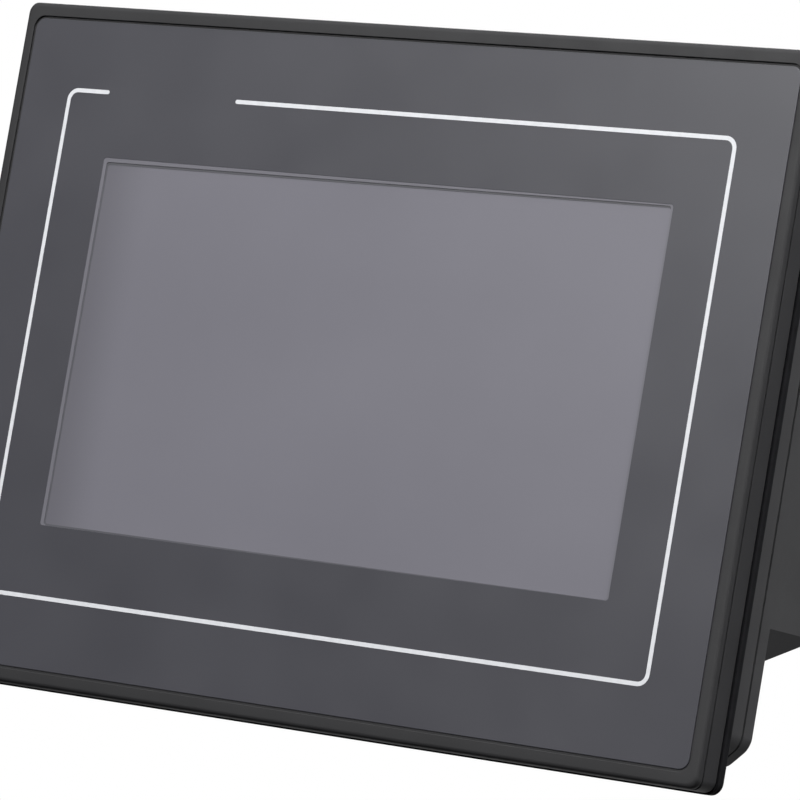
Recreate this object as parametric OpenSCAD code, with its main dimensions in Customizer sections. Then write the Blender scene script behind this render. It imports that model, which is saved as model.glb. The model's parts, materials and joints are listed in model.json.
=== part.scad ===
// Wide-screen touch operator panel for cabinet doors.
// X runs to the right, Y from the screen into the cabinet and Z up. The origin is the centre of the
// bezel's rear face, which carries the door gasket. All sizes are in millimetres.

/* [Bezel] */
// Width of the front bezel
bezel_w = 215; // [212:0.5:230]
// Height of the front bezel
bezel_h = 161; // [158:0.5:176]
// Thickness of the front bezel
bezel_t = 8; // [7.5:0.1:10]
// Corner radius of the bezel
bezel_r = 2.5; // [0.5:0.1:6]
// Width of the recess that holds the printed film
label_w = 209.8; // [206:0.1:211.5]
// Height of the recess that holds the printed film
label_h = 154.2; // [150:0.1:155]
// Corner radius of the film
label_r = 3; // [0.5:0.1:5]
// Depth of the film's recess
label_recess = 0.5; // [0.4:0.05:0.8]
// How far behind the front the groove round the bezel's sides starts
side_groove_at = 1.8; // [1.5:0.1:3]

/* [Film and outline] */
// Thickness of the film
film_t = 0.25; // [0.15:0.05:0.35]
// Width of the film's window
window_w = 155.6; // [154:0.1:158]
// Height of the film's window
window_h = 87.4; // [86.4:0.1:89]
// How far the window's centre lies above the bezel's centre
window_rise = 0.7; // [0:0.05:0.8]
// How far the window's centre lies right of the bezel's centre
window_shift = 0.2; // [-0.5:0.1:0.5]
// Width of the printed outline, at the middle of its stroke
outline_w = 181.7; // [170:0.1:196]
// Height of the printed outline, at the middle of its stroke
outline_h = 119.7; // [105:0.1:140]
// Width of the outline's stroke
outline_stroke = 1.05; // [0.5:0.05:2]
// Corner radius of the outline, at the middle of its stroke
outline_r = 2.4; // [1:0.1:6]
// Start of the gap in the outline's top line, from its left end
gap_start = 11; // [5:0.5:30]
// End of the gap in the outline's top line, from its left end
gap_end = 48.5; // [35:0.5:90]

/* [Housing] */
// Width of the part that passes through the door
body_w = 196; // [194:0.1:196.3]
// Height of the part that passes through the door
body_h = 141.9; // [140:0.1:142.3]
// How far the housing's centre lies below the bezel's centre
body_drop = 3.05; // [2.9:0.05:3.2]
// Thickness of the housing walls
wall = 2.5; // [2.2:0.1:2.8]
// Chamfer of the housing's corners
corner_cut = 5.5; // [4:0.1:6]
// Depth of the joint between housing and rear cover
parting_y = 25; // [25:0.1:25.5]
// Width of the shadow gap at that joint
parting_gap = 0.8; // [0.3:0.1:1]
// Depth of the rear face below the raised box
ledge_y = 29; // [28.5:0.1:29.5]
// Depth of the rear face of the raised box
rear_y = 47; // [46:0.1:48]
// Width of the connector bay
bay_w = 164; // [160:1:165]
// Depth at which the connector bay starts
bay_y = 12.5; // [12.3:0.1:12.7]
// Height of the connector bay's ceiling
bay_ceiling = -51; // [-51.2:0.1:-50.8]

/* [Gasket] */
// Thickness of the door gasket behind the bezel
gasket_t = 3; // [2:0.1:4]
// How far the gasket stands out past the bezel's edge
gasket_bulge = 0.4; // [0:0.1:0.8]

/* [Terminal] */
// Distance between poles
pole_pitch = 5.08; // [5:0.01:5.2]
// Number of poles
poles = 3; // [3:1:3]
// Travel of each clamp
clamp_travel = 2; // [1:0.1:2]

/* [Hidden] */
$fn = 48;
eps = 0.05;
front_y = -bezel_t;
film_back = front_y + label_recess;
film_front = film_back - film_t;
print_t = 0.05;
film_trim = 1.1;
body_z = -body_drop;
body_top = body_z + body_h / 2;
body_bottom = body_z - body_h / 2;
body_side = body_w / 2;

// Display stack, from front to back
touch_size = [165, 100];
touch_t = 1.8;
foam_t = 0.5;
lcd_t = 5.6;
lcd_front = film_back + touch_t + foam_t;
lcd_back = lcd_front + lcd_t;
lcd_view = [156, 88];
metal_t = 0.4;
cell_t = 1.4;
stack_clearance = 0.6;

// Shadow groove round the bezel's sides
side_groove_w = 0.6;
side_groove_depth = 0.35;

// Tongue and groove that hold the gasket on the bezel
groove_depth = 1.2;
groove_w = 3.6;
groove_trim = 1.4;
gasket_gap = 1.2;

// Inner frame and board
plate_t = 1;
plate_front = wall;
plate_back = plate_front + plate_t;
board_front = 13;
board_t = 1.6;
board_back = board_front + board_t;
board_w = 160;
board_bottom = -48;
board_top = 45;
chip_t = 1.2;
standoffs = [[-76, -20], [76, -20], [-76, 40], [76, 40]];
chassis_points = [[-88, -30], [88, -30], [-88, 30], [88, 30], [0, 57], [0, -59]];
cover_low = [[-90, -64], [90, -64]];
cover_high = [[-88.5, 58], [88.5, 58]];

// Screws
screw_r = 1.2;
thread_r = 1.25;
pass_r = 1.7;
head_r = 2.8;
head_t = 1.8;

// Connectors along the bay, by the middle of each
power_x = 66;
ethernet_x = 38;
usb_host_x = 16;
usb_device_x = 0;
com_x = [-24, -59];
com_y = 21.05;
jack_spacing = 25;
jack_r = 1.2;
bay_side = bay_w / 2;

// Power terminal, from the board to the screw heads
term_y0 = board_back + 0.2;
term_y1 = 27;
term_z0 = -66.5;
term_z1 = bay_ceiling + 4;
clamp_z = -61.5;
clamp_y0 = 15.4;
clamp_size = [4.1, 6.4, 6];
clamp_wall = 0.8;
clamp_nut = 1.5;
clamp_bore = [3, 8];
bar_y = 19.3;
bar_t = 0.8;
bar_w = 2.5;
shoulder_y = 24.4;
shoulder_t = 0.6;
tscrew_head_r = 1.9;
tscrew_head_t = 1.6;
tscrew_r = 1.25;
tscrew_fit = 0.08;

// Button and its switch
button_at = [60, -25];
button_r = 3;
button_fit = 0.05;
button_sink = 1.8;
dish_r = 6;
dish_depth = 1.5;
switch_top = board_back + 3.4;
plunger_r = 1.6;
plunger_top = switch_top + 1;

// Battery, its holder and its door
battery_at = [-55, 18];
door_size = 34;
door_t = 2;
door_rim = 4;
cell_r = 10;
cell_h = 3.2;
cell_y = rear_y - 9;
cell_step = [1.2, 0.6];
holder_y = rear_y - 11;
holder_rim = 3.5;
spring_w = 6;
spring_t = 0.4;
spring_drop = 1.2;

// Underside of the raised box: its slope, and the height at which its corners end
box_slope = 0.42;
low_rise = 9;

// Vents, clamp slots and label
vent_w = 2.4;
vent_pitch = 6;
vents = 24;
clamp_slot = [14, 5];
side_slot_z = 33.5;
side_slot_y = 19;
edge_slots = [-62, 62];
low_slot_y = 6.5;
rating_at = [20, 18];
rating_size = [70, 28];

// Where the flexible tails and the lamp wires run
tail_x = 30;
tail_w = 12;
tail_drop = 1.6;
tail_back = 9.5;
flex_x = -20;
flex_w = 24;
flex_z = [24, 30];
flex_t = 0.2;
lead_at = [70, 32];
heat_sink_at = [10, 8];

charcoal = [0.22, 0.22, 0.23];
film_grey = [0.36, 0.37, 0.40];
steel = [0.72, 0.73, 0.74];
gold = [0.83, 0.69, 0.32];
board_green = [0.05, 0.30, 0.16];

// ---- shared shapes ----

module rounded_rect(w, h, r) {
    if (r > 0) {
        square([w - 2 * r, h], center = true);
        square([w, h - 2 * r], center = true);
        for (sx = [-1, 1], sz = [-1, 1])
            translate([sx * (w / 2 - r), sz * (h / 2 - r)]) circle(r);
    } else {
        square([w, h], center = true);
    }
}

module cut_rect(w, h, c) {
    polygon([
        [-w / 2 + c, -h / 2], [w / 2 - c, -h / 2], [w / 2, -h / 2 + c], [w / 2, h / 2 - c],
        [w / 2 - c, h / 2], [-w / 2 + c, h / 2], [-w / 2, h / 2 - c], [-w / 2, -h / 2 + c]
    ]);
}

// Extrudes a flat shape, drawn as X and Z, from y0 to y1
module from_front(y0, y1) {
    translate([0, y1, 0]) rotate([90, 0, 0]) linear_extrude(y1 - y0) children();
}

module slab(w, h, y0, y1, r = 0, at = [0, 0]) {
    translate([at[0], 0, at[1]]) from_front(y0, y1) rounded_rect(w, h, r);
}

// Extrudes a flat shape, drawn as Y and Z, from x0 to x1
module across(x0, x1) {
    translate([x0, 0, 0]) rotate([90, 0, 90]) linear_extrude(x1 - x0) children();
}

module block(x0, x1, y0, y1, z0, z1) {
    translate([x0, y0, z0]) cube([x1 - x0, y1 - y0, z1 - z0]);
}

module rod_y(r, y0, y1, at = [0, 0]) {
    translate([at[0], y1, at[1]]) rotate([90, 0, 0]) cylinder(r = r, h = y1 - y0);
}

module rod_z(r, z0, z1, at = [0, 0]) {
    translate([at[0], at[1], z0]) cylinder(r = r, h = z1 - z0);
}

module body_slab(y0, y1, inset = 0) {
    translate([0, 0, body_z])
        from_front(y0, y1) cut_rect(body_w - 2 * inset, body_h - 2 * inset, corner_cut - inset * 0.6);
}

// Pan-head screw that points to the front, with a cross recess
module screw(at, head_y, length) {
    recess_l = head_r * 1.2;
    recess_w = 0.8;
    difference() {
        union() {
            rod_y(screw_r, head_y - length, head_y + eps, at);
            rod_y(head_r, head_y, head_y + head_t, at);
        }
        for (turn = [0, 90])
            translate([at[0], 0, at[1]]) rotate([0, turn, 0])
                block(-recess_l / 2, recess_l / 2, head_y + head_t - 1, head_y + head_t + eps,
                    -recess_w / 2, recess_w / 2);
    }
}

// Outline of a nine-pole D shell, drawn as X and Y, grown all round by the given margin
module d_shell(margin = 0) {
    wide = 16.3;
    narrow = 14.2;
    height = 7.9;
    r = 2.2;
    hull() {
        for (s = [-1, 1]) {
            translate([s * (wide / 2 - r), height / 2 - r]) circle(r + margin);
            translate([s * (narrow / 2 - r), -height / 2 + r]) circle(r + margin);
        }
    }
}

// ---- front ----

module side_groove() {
    y0 = front_y + side_groove_at;
    y1 = y0 + side_groove_w;
    cut = 2 * side_groove_depth;
    difference() {
        slab(bezel_w + 2, bezel_h + 2, y0, y1, bezel_r);
        slab(bezel_w - cut, bezel_h - cut, y0 - 1, y1 + 1, bezel_r);
    }
}

module front_bezel() {
    notch = [tail_w + 4, 3];
    low = -touch_size[1] / 2;
    color(charcoal) difference() {
        slab(bezel_w, bezel_h, front_y, 0, bezel_r);
        slab(label_w, label_h, front_y - 1, film_back, label_r);
        slab(touch_size[0] + stack_clearance, touch_size[1] + stack_clearance, front_y - 1, 1);
        block(tail_x - notch[0] / 2, tail_x + notch[0] / 2, front_y + 1, 1, low - notch[1], low + 1);
        side_groove();
        seal_groove(-groove_depth, 1);
        for (p = chassis_points) rod_y(thread_r, -5, 1, p);
    }
}

// Opening of the gasket, which clears the housing all round
module gasket_hole(y0, y1) {
    slab(body_w + 2 * gasket_gap, body_h + 2 * gasket_gap, y0, y1, 1, [0, body_z]);
}

module seal_groove(y0, y1) {
    outer = 2 * (gasket_gap + groove_w);
    difference() {
        slab(body_w + outer, body_h + outer - groove_trim, y0, y1, 3, [0, body_z]);
        gasket_hole(y0 - 1, y1 + 1);
    }
}

// Rubber gasket that covers the bezel's rear rim, with a tongue in the bezel's groove
module panel_gasket() {
    color([0.05, 0.05, 0.05]) {
        seal_groove(-groove_depth, eps);
        difference() {
            slab(bezel_w + 2 * gasket_bulge, bezel_h + 2 * gasket_bulge, 0, gasket_t,
                bezel_r + gasket_bulge);
            gasket_hole(-1, gasket_t + 1);
        }
    }
}

module overlay_film() {
    color(film_grey) difference() {
        slab(label_w - film_trim, label_h - film_trim, film_front, film_back, label_r - film_trim / 2);
        slab(window_w, window_h, film_front - 1, film_back + 1, 0.8, [window_shift, window_rise]);
    }
}

module outline_print() {
    left = -outline_w / 2;
    top = outline_h / 2;
    half = outline_stroke / 2;
    y0 = film_front - print_t;
    color([0.93, 0.94, 0.95]) {
        difference() {
            slab(outline_w + outline_stroke, outline_h + outline_stroke, y0, film_front,
                outline_r + half);
            slab(outline_w - outline_stroke, outline_h - outline_stroke, y0 - 1, film_front + 1,
                outline_r - half);
            block(left + gap_start, left + gap_end, y0 - 1, film_front + 1, top - 2, top + 2);
        }
        for (x = [gap_start, gap_end]) rod_y(half, y0, film_front, [left + x, top]);
    }
}

module touch_glass() {
    color([0.45, 0.44, 0.50])
        slab(touch_size[0], touch_size[1], film_back, film_back + touch_t, 0.5);
}

// Flexible tail of the touch sensor: back past the display, up behind the bay's wall, into its socket
module touch_tail() {
    x0 = tail_x - tail_w / 2;
    x1 = tail_x + tail_w / 2;
    z = -touch_size[1] / 2;
    low = z - tail_drop;
    bend = board_bottom + 1.8;
    y0 = film_back + touch_t / 2;
    y1 = board_front - 2;
    color([0.78, 0.45, 0.12]) {
        block(x0, x1, y0, y0 + flex_t, low, z);
        block(x0, x1, y0, tail_back, low, low + flex_t);
        block(x0, x1, tail_back - flex_t, tail_back, low, bend);
        block(x0, x1, tail_back - flex_t, y1, bend - flex_t, bend);
        block(x0, x1, y1 - flex_t, y1, bend - flex_t, board_bottom + 4);
    }
}

module display_gasket() {
    color([0.08, 0.08, 0.09]) difference() {
        slab(touch_size[0], touch_size[1], film_back + touch_t, lcd_front);
        slab(lcd_view[0] + 1, lcd_view[1] + 1, film_back, lcd_front + 1);
    }
}

module lcd_frame() {
    color(steel) difference() {
        slab(touch_size[0], touch_size[1], lcd_front, lcd_back);
        slab(lcd_view[0], lcd_view[1], lcd_front - 1, lcd_back);
        slab(touch_size[0] - 2 * metal_t, touch_size[1] - 2 * metal_t, lcd_front + metal_t,
            lcd_back + 1);
    }
}

module lcd_cell() {
    color([0.10, 0.10, 0.13])
        slab(162, 97, lcd_front + metal_t, lcd_front + metal_t + cell_t);
}

module backlight_unit() {
    color([0.92, 0.92, 0.90])
        slab(162, 97, lcd_front + metal_t + cell_t, lcd_back);
}

module lcd_flex() {
    x0 = flex_x - flex_w / 2;
    x1 = flex_x + flex_w / 2;
    y1 = board_front - 2;
    color([0.78, 0.45, 0.12]) {
        block(x0, x1, lcd_back, lcd_back + flex_t, flex_z[0], flex_z[1]);
        block(x0, x1, lcd_back, y1, flex_z[1] - flex_t, flex_z[1]);
        block(x0, x1, y1 - flex_t, y1, flex_z[0], flex_z[1]);
    }
}

module backlight_lead() {
    wire_r = 0.6;
    for (side = [-1, 1])
        color(side < 0 ? [0.1, 0.1, 0.1] : [0.7, 0.1, 0.1])
            rod_y(wire_r, lcd_back, board_front - 4, lead_at + [side, 0]);
}

// ---- housing ----

module chassis_plate() {
    pad_r = 5;
    color(steel) difference() {
        union() {
            slab(185, 124, plate_front, plate_back, 2, [0, -2]);
            for (sx = [-1, 1], sz = [-1, 1])
                rod_y(pad_r, lcd_back, plate_front, [sx * 60, sz * 38]);
        }
        for (p = chassis_points) rod_y(pass_r, plate_front - 1, plate_back + 1, p);
        for (p = concat(cover_low, cover_high)) rod_y(5.2, plate_front - 1, plate_back + 1, p);
        block(flex_x - flex_w / 2 - 2, flex_x + flex_w / 2 + 2, plate_front - 1, plate_back + 1,
            flex_z[1] - 4, flex_z[1] + 3);
        rod_y(3, plate_front - 1, plate_back + 1, lead_at);
        block(tail_x - tail_w / 2 - 1, tail_x + tail_w / 2 + 1, plate_front - 1, plate_back + 1,
            -touch_size[1] / 2 - 4, -touch_size[1] / 2);
    }
}

module chassis_screws() {
    color(steel) for (p = chassis_points) screw(p, plate_back, plate_back + 4.8);
}

module clamp_slots() {
    l = clamp_slot[0];
    h = clamp_slot[1];
    for (s = [-1, 1]) {
        block(s * body_side - 4, s * body_side + 4, side_slot_y - h / 2, side_slot_y + h / 2,
            side_slot_z - l / 2, side_slot_z + l / 2);
    }
    for (x = edge_slots) {
        block(x - l / 2, x + l / 2, side_slot_y - h / 2, side_slot_y + h / 2, body_top - 4,
            body_top + 4);
        block(x - l / 2, x + l / 2, low_slot_y - h / 2, low_slot_y + h / 2, body_bottom - 4,
            body_bottom + 4);
    }
}

module front_housing() {
    boss_r = 4.2;
    bay_outer = bay_side + wall + 0.3;
    end_y = parting_y - parting_gap;
    color(charcoal) difference() {
        union() {
            difference() {
                body_slab(0, end_y);
                body_slab(wall, end_y + 1, wall);
            }
            for (p = concat(cover_low, cover_high)) rod_y(boss_r, wall - eps, parting_y, p);
        }
        slab(168, 104, -1, wall + 1);
        block(-bay_outer, bay_outer, bay_y - wall - 0.3, parting_y + 1, body_bottom - 1,
            bay_ceiling + 3);
        clamp_slots();
        for (p = chassis_points) rod_y(pass_r, -1, wall + 1, p);
        for (p = concat(cover_low, cover_high)) rod_y(thread_r, 8, parting_y + 1, p);
    }
}

// Solid envelope of the raised box behind the joint, before it is hollowed
module raised_box() {
    corner = [4, low_rise + 1];
    x = body_side - corner[0];
    z = bay_ceiling + low_rise - corner[1];
    intersection() {
        across(-body_side, body_side) polygon([
            [parting_y, bay_ceiling], [ledge_y, bay_ceiling],
            [rear_y, bay_ceiling + box_slope * (rear_y - ledge_y)],
            [rear_y, body_top], [parting_y, body_top]
        ]);
        body_slab(parting_y - 1, rear_y + 1);
        from_front(parting_y - 1, rear_y + 1) polygon([
            [-body_side, body_top], [-body_side, z + corner[1]], [-x, z],
            [x, z], [body_side, z + corner[1]], [body_side, body_top]
        ]);
    }
}

module box_hollow() {
    low = bay_ceiling + wall;
    slope_y = ledge_y - 0.4;
    across(-body_side + 6.5, body_side - 6.5) polygon([
        [parting_y - 3, low], [slope_y, low],
        [rear_y - wall, low + box_slope * (rear_y - wall - slope_y)],
        [rear_y - wall, 0], [parting_y - 3, 0]
    ]);
    difference() {
        block(-body_side + wall, body_side - wall, parting_y - 3, rear_y - wall, bay_ceiling + 11,
            body_top - wall);
        for (s = [-1, 1]) translate([s * (body_side - wall), 0, body_top - wall])
            rotate([0, 45, 0]) cube([5, 100, 5], center = true);
    }
}

module bay_liner() {
    outer = bay_side + wall;
    difference() {
        block(-outer, outer, bay_y - wall, ledge_y, body_bottom, bay_ceiling + wall);
        block(-bay_side, bay_side, bay_y, ledge_y + 1, body_bottom - 1, bay_ceiling);
        block(-outer + 1, outer - 1, parting_y - 3, ledge_y - 1, bay_ceiling + wall - eps,
            bay_ceiling + wall + 1);
    }
}

module low_corners() {
    intersection() {
        body_slab(parting_y, ledge_y);
        for (s = [-1, 1])
            translate([s * (bay_side + body_side) / 2, 0, 0])
                block(-(body_side - bay_side) / 2, (body_side - bay_side) / 2, parting_y, ledge_y,
                    body_bottom, bay_ceiling + low_rise);
    }
}

module joint_lip() {
    lip = 1.4;
    inset = wall + 0.2;
    difference() {
        body_slab(parting_y - 2, parting_y + 0.5, inset);
        body_slab(parting_y - 3, parting_y + 1, inset + lip);
        block(-body_side, body_side, parting_y - 4, parting_y + 2, body_bottom - 1, bay_ceiling + 3);
    }
}

module port_cuts() {
    y0 = board_back - 0.3;
    z0 = bay_ceiling - 1;
    z1 = bay_ceiling + wall + 1;
    block(power_x - 9.1, power_x + 9.1, y0, 27.4, z0, z1);
    block(ethernet_x - 8.3, ethernet_x + 8.3, y0, 28.4, z0, z1);
    block(usb_host_x - 7.5, usb_host_x + 7.5, y0, 22, z0, z1);
    block(usb_device_x - 4.2, usb_device_x + 4.2, y0, 18.9, z0, z1);
    for (x = com_x) {
        translate([x, com_y, z0]) linear_extrude(z1 - z0) d_shell(0.4);
        for (s = [-1, 1]) rod_z(1.5, z0, z1, [x + s * jack_spacing / 2, com_y]);
    }
}

module rear_vents() {
    slot_h = 14;
    for (i = [0:vents - 1]) {
        x = (i - (vents - 1) / 2) * vent_pitch;
        slab(vent_w, slot_h, rear_y - wall - 1, rear_y + 1, vent_w / 2 - 0.01, [x, 54]);
        translate([x, (parting_y + rear_y) / 2, body_top - wall - 1]) linear_extrude(wall + 2)
            rounded_rect(vent_w, 9, vent_w / 2 - 0.01);
    }
}

module rear_cover() {
    tube_r = 5.5;
    tub = door_size - door_rim;
    color(charcoal) difference() {
        union() {
            difference() {
                union() {
                    raised_box();
                    low_corners();
                    bay_liner();
                }
                box_hollow();
            }
            joint_lip();
            for (p = cover_high) rod_y(tube_r, parting_y, rear_y - 1, p);
            rod_y(tube_r, 30, rear_y - 1, button_at);
            slab(tub + 3, tub + 3, holder_y - 1.5, rear_y - 1, 1, battery_at);
        }
        port_cuts();
        rear_vents();
        slab(door_size + 0.6, door_size + 0.6, rear_y - door_t - 0.2, rear_y + 1, 2, battery_at);
        slab(tub, tub, holder_y, rear_y + 1, 1, battery_at);
        slab(rating_size[0] + 0.4, rating_size[1] + 0.4, rear_y - 0.2, rear_y + 1, 1, rating_at);
        rod_y(dish_r, rear_y - dish_depth, rear_y + 1, button_at);
        rod_y(button_r + button_fit, 20, rear_y + 1, button_at);
        for (p = concat(cover_low, cover_high)) {
            seat = p[1] < 0 ? ledge_y - 2 : parting_y + 2;
            rod_y(pass_r, parting_y - 1, seat + 1, p);
            rod_y(head_r + 0.4, seat, rear_y + 1, p);
        }
    }
}

module rear_cover_screws() {
    color(steel) for (p = concat(cover_low, cover_high)) screw(p, parting_y + 2, 10);
}

module rating_label() {
    color([0.80, 0.80, 0.78])
        slab(rating_size[0], rating_size[1], rear_y - 0.2, rear_y - 0.05, 1, rating_at);
}

// ---- board ----

module main_board() {
    middle = (board_top + board_bottom) / 2;
    color(board_green) difference() {
        slab(board_w, board_top - board_bottom, board_front, board_back, 1, [0, middle]);
        for (p = standoffs) rod_y(1.6, board_front - 1, board_back + 1, p);
    }
}

module board_standoffs() {
    hex_r = 3;
    color(gold) for (p = standoffs) difference() {
        rod_y(hex_r, plate_back, board_front, p, $fn = 6);
        rod_y(thread_r, plate_back + 2, board_front + 1, p);
    }
}

module board_screws() {
    color(steel) for (p = standoffs) screw(p, board_back, 6);
}

module processor() {
    color([0.1, 0.1, 0.1]) slab(17, 17, board_back, board_back + chip_t, 0, heat_sink_at);
}

module heat_sink() {
    fins = 7;
    size = 30;
    base = 2;
    fin_t = 1.5;
    y0 = board_back + chip_t;
    pitch = (size - fin_t) / (fins - 1);
    color([0.65, 0.66, 0.68]) {
        slab(size, size, y0, y0 + base, 0, heat_sink_at);
        for (i = [0:fins - 1])
            slab(fin_t, size, y0 + base - eps, y0 + 12, 0,
                heat_sink_at + [(i - (fins - 1) / 2) * pitch, 0]);
    }
}

module memory_chips() {
    color([0.1, 0.1, 0.1]) {
        for (z = [-6, 8, 22]) slab(10, 12, board_back, board_back + 1.1, 0, [38, z]);
        slab(18, 12, board_back, board_back + 1.1, 0, [-20, 8]);
        slab(14, 10, board_back, board_back + 2.2, 0, [ethernet_x, -22]);
    }
}

module power_coil() {
    color([0.25, 0.25, 0.25]) slab(12, 12, board_back, board_back + 6, 1.5, [62, 14]);
}

module capacitors() {
    color([0.6, 0.62, 0.68]) for (i = [0:2]) rod_y(4, board_back, board_back + 10, [52 + 9.5 * i, 30]);
}

module buzzer() {
    color([0.08, 0.08, 0.08]) difference() {
        rod_y(6, board_back, board_back + 8.5, [-22, 34]);
        rod_y(1, board_back + 6, board_back + 9, [-22, 34]);
    }
}

module board_sockets() {
    color([0.93, 0.91, 0.84]) {
        block(tail_x - tail_w / 2 - 1, tail_x + tail_w / 2 + 1, board_front - 3, board_front,
            board_bottom + 4, board_bottom + 8);
        block(flex_x - flex_w / 2 - 1, flex_x + flex_w / 2 + 1, board_front - 3, board_front,
            flex_z[0] - 4, flex_z[0]);
        block(lead_at[0] - 3, lead_at[0] + 3, board_front - 4, board_front, lead_at[1] - 3,
            lead_at[1] + 3);
    }
}

// ---- connectors ----

module ethernet_port() {
    z0 = bay_ceiling - 0.5;
    mid_y = board_back + 6.75;
    color([0.75, 0.76, 0.78]) difference() {
        block(ethernet_x - 8, ethernet_x + 8, board_back, board_back + 13.5, z0, z0 + 21);
        block(ethernet_x - 5.9, ethernet_x + 5.9, mid_y - 4, mid_y + 4, z0 - 1, z0 + 13);
        block(ethernet_x - 3, ethernet_x + 3, mid_y - 5.2, mid_y, z0 - 1, z0 + 10);
    }
}

module usb_host_port() {
    z0 = bay_ceiling - 0.8;
    depth = 10;
    color([0.78, 0.79, 0.80]) {
        difference() {
            block(usb_host_x - 7.2, usb_host_x + 7.2, board_back, board_back + 7, z0, z0 + 17);
            block(usb_host_x - 6.4, usb_host_x + 6.4, board_back + 0.8, board_back + 6.2, z0 - 1,
                z0 + depth);
        }
        block(usb_host_x - 5.5, usb_host_x + 5.5, board_back + 3.9, board_back + 5.6, z0 + 1,
            z0 + depth + eps);
    }
}

module usb_device_port() {
    z0 = bay_ceiling - 0.8;
    depth = 6;
    color([0.78, 0.79, 0.80]) {
        difference() {
            block(usb_device_x - 3.9, usb_device_x + 3.9, board_back, board_back + 4, z0, z0 + 9);
            block(usb_device_x - 3.4, usb_device_x + 3.4, board_back + 0.45, board_back + 3.55,
                z0 - 1, z0 + depth);
        }
        block(usb_device_x - 2, usb_device_x + 2, board_back + 1.6, board_back + 2.4, z0 + 1,
            z0 + depth + eps);
    }
}

module com_port(x) {
    flange_z = bay_ceiling + wall;
    shell_z = flange_z - 5.9;
    color([0.78, 0.79, 0.80]) difference() {
        union() {
            block(x - 15.4, x + 15.4, com_y - 6.25, com_y + 6.25, flange_z, flange_z + 1);
            translate([x, com_y, shell_z]) linear_extrude(6.4) d_shell();
            block(x - 9.6, x + 9.6, board_back, com_y + 5, flange_z + 1 - eps, flange_z + 10);
        }
        for (s = [-1, 1])
            rod_z(1.5, flange_z - 1, flange_z + 2, [x + s * jack_spacing / 2, com_y]);
        for (i = [0:4]) rod_z(0.55, shell_z - 1, shell_z + 5, [x + (i - 2) * 2.76, com_y + 1.42], $fn = 16);
        for (i = [0:3]) rod_z(0.55, shell_z - 1, shell_z + 5, [x + (i - 1.5) * 2.76, com_y - 1.42], $fn = 16);
    }
}

module com1_port() { com_port(com_x[0]); }

module com2_port() { com_port(com_x[1]); }

module jack_screws() {
    color(steel) for (x = com_x, s = [-1, 1]) {
        at = [x + s * jack_spacing / 2, com_y];
        difference() {
            union() {
                rod_z(2.75, bay_ceiling - 5, bay_ceiling, at, $fn = 6);
                rod_z(1.4, bay_ceiling - eps, bay_ceiling + 6, at);
            }
            rod_z(jack_r, bay_ceiling - 6, bay_ceiling + 1, at);
        }
    }
}

// ---- power terminal ----

function pole_x(i) = power_x + (i - (poles - 1) / 2) * pole_pitch;

module power_terminal() {
    half_w = poles * pole_pitch / 2 + 1.1;
    color([0.10, 0.38, 0.22]) difference() {
        block(power_x - half_w, power_x + half_w, term_y0, term_y1, term_z0, term_z1);
        for (i = [0:poles - 1]) {
            x = pole_x(i);
            block(x - 2.25, x + 2.25, clamp_y0 - 0.2, shoulder_y, term_z0 - 1, clamp_z + 3.4);
            block(x - bar_w / 2 - eps, x + bar_w / 2 + eps, bar_y - eps, bar_y + bar_t + eps, clamp_z,
                term_z1 + 1);
            rod_y(tscrew_r + 0.15, shoulder_y - 1, shoulder_y + 1, [x, clamp_z]);
            rod_y(tscrew_head_r + tscrew_fit, shoulder_y + shoulder_t, term_y1 + 1, [x, clamp_z]);
        }
    }
}

module terminal_contacts() {
    color(gold) for (i = [0:poles - 1]) {
        x = pole_x(i);
        block(x - bar_w / 2, x + bar_w / 2, bar_y, bar_y + bar_t, term_z0 + 1, term_z1 + 2);
        block(x - 0.5, x + 0.5, board_back, bar_y + 0.1, term_z1 + 1, term_z1 + 2);
    }
}

module terminal_screw(i) {
    x = pole_x(i);
    head_y = shoulder_y + shoulder_t + 0.05;
    color(steel) difference() {
        union() {
            rod_y(tscrew_r, bar_y + bar_t + 0.3, head_y + eps, [x, clamp_z]);
            rod_y(tscrew_head_r, head_y, head_y + tscrew_head_t, [x, clamp_z]);
        }
        block(x - 2, x + 2, head_y + tscrew_head_t / 2, head_y + tscrew_head_t + eps,
            clamp_z - 0.3, clamp_z + 0.3);
    }
}

module terminal_screw_1() { terminal_screw(0); }

module terminal_screw_2() { terminal_screw(1); }

module terminal_screw_3() { terminal_screw(2); }

// Rising cage: a ring around the contact bar, with the screw's thread in its rear wall
module terminal_clamp(i) {
    x = pole_x(i);
    y1 = clamp_y0 + clamp_size[1];
    color([0.80, 0.81, 0.82]) difference() {
        block(x - clamp_size[0] / 2, x + clamp_size[0] / 2, clamp_y0, y1,
            clamp_z - clamp_size[2] / 2, clamp_z + clamp_size[2] / 2);
        block(x - clamp_bore[0] / 2, x + clamp_bore[0] / 2, clamp_y0 + clamp_wall, y1 - clamp_nut,
            clamp_z - clamp_bore[1] / 2, clamp_z + clamp_bore[1] / 2);
        rod_y(tscrew_r + tscrew_fit, clamp_y0 + 2, y1 + 1, [x, clamp_z]);
    }
}

module terminal_clamp_1() { terminal_clamp(0); }

module terminal_clamp_2() { terminal_clamp(1); }

module terminal_clamp_3() { terminal_clamp(2); }

// ---- service parts ----

module battery_holder() {
    size = door_size - door_rim - 1;
    groove = spring_w / 2 + 1;
    color([0.12, 0.12, 0.12]) difference() {
        slab(size, size, holder_y, cell_y + holder_rim, 1, battery_at);
        rod_y(cell_r + 0.2, cell_y, cell_y + 5, battery_at);
        block(battery_at[0] - groove, battery_at[0] + groove, cell_y - spring_drop, cell_y + 5,
            battery_at[1] - 14, battery_at[1]);
    }
}

module coin_cell() {
    color([0.80, 0.81, 0.82]) {
        rod_y(cell_r, cell_y + cell_step[1], cell_y + cell_h, battery_at);
        rod_y(cell_r - cell_step[0], cell_y, cell_y + cell_step[1] + eps, battery_at);
    }
}

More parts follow.
